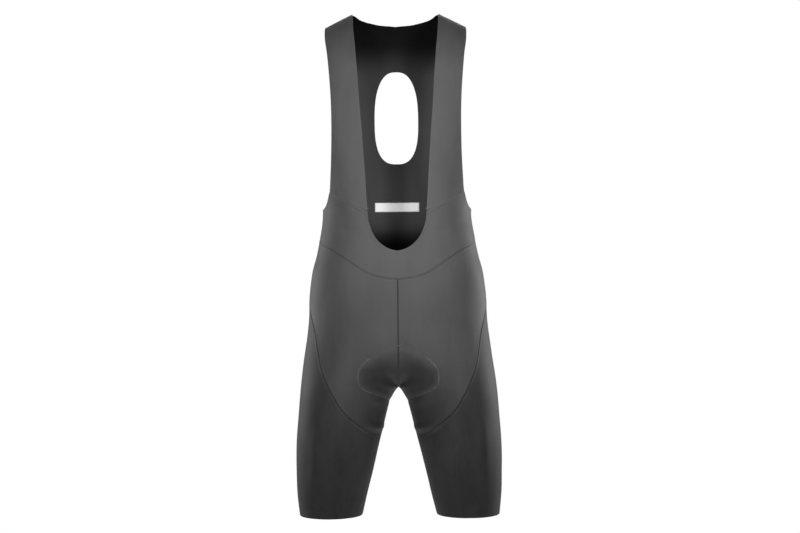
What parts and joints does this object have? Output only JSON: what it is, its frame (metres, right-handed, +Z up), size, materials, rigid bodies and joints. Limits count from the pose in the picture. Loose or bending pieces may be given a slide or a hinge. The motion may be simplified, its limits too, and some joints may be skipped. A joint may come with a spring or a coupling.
{
  "type": "cycling bib shorts",
  "caption": "Men's cycling bib shorts, filled out as when worn: wide front straps, U-necked yoke, panelled shorts with a sewn-in pad, and a back bib with an oval opening.",
  "frame": {"origin": "on the centre plane, level with the underside of the straps at the middle of each shoulder, below the crest of the shoulder line", "axes": "+Z up along the body, -Y towards the front of the garment, +X towards the wearer's left"},
  "size_m": [0.3804, 0.228, 0.9244],
  "materials": {
    "front_knit": "smooth matt charcoal warp knit with a soft sheen",
    "leg_knit": "smooth compressive charcoal warp knit, a little darker than the front",
    "back_knit": "light dark-grey knit",
    "pad_cloth": "soft brushed facing over foam",
    "label_cloth": "white woven tape"
  },
  "bodies": {
    "root": {"strap_left": "front_knit", "strap_right": "front_knit", "front_yoke": "front_knit", "front_left": "front_knit", "front_right": "front_knit", "leg_left": "leg_knit", "leg_right": "leg_knit", "seat_left": "leg_knit", "seat_right": "leg_knit", "back_bib": "back_knit", "seat_pad": "pad_cloth", "label": "label_cloth"}
  },
  "joints": []
}
